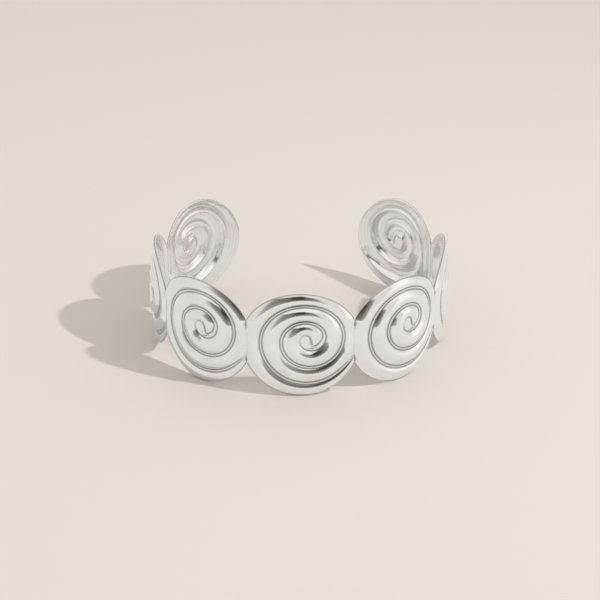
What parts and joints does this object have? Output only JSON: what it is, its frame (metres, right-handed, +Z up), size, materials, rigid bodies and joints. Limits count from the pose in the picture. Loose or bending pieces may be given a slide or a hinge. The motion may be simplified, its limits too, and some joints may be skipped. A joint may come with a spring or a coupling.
{
  "type": "spiral bangle",
  "caption": "Open cuff bangle: a row of equal oval discs pressed from one sheet of metal, each with a rounded spiral relief, bent round the wrist with a gap at the back.",
  "frame": {"origin": "under the middle of the cuff's box, on the surface that it lies on", "axes": "+Z up, along the way the wrist goes through; the middle disc faces -Y and the gap is at +Y; +X to the right seen from the front"},
  "size_m": [0.0632, 0.0552, 0.0225],
  "materials": {
    "silver": "bright polished silver plate"
  },
  "bodies": {
    "root": {"cuff": "silver"}
  },
  "joints": []
}
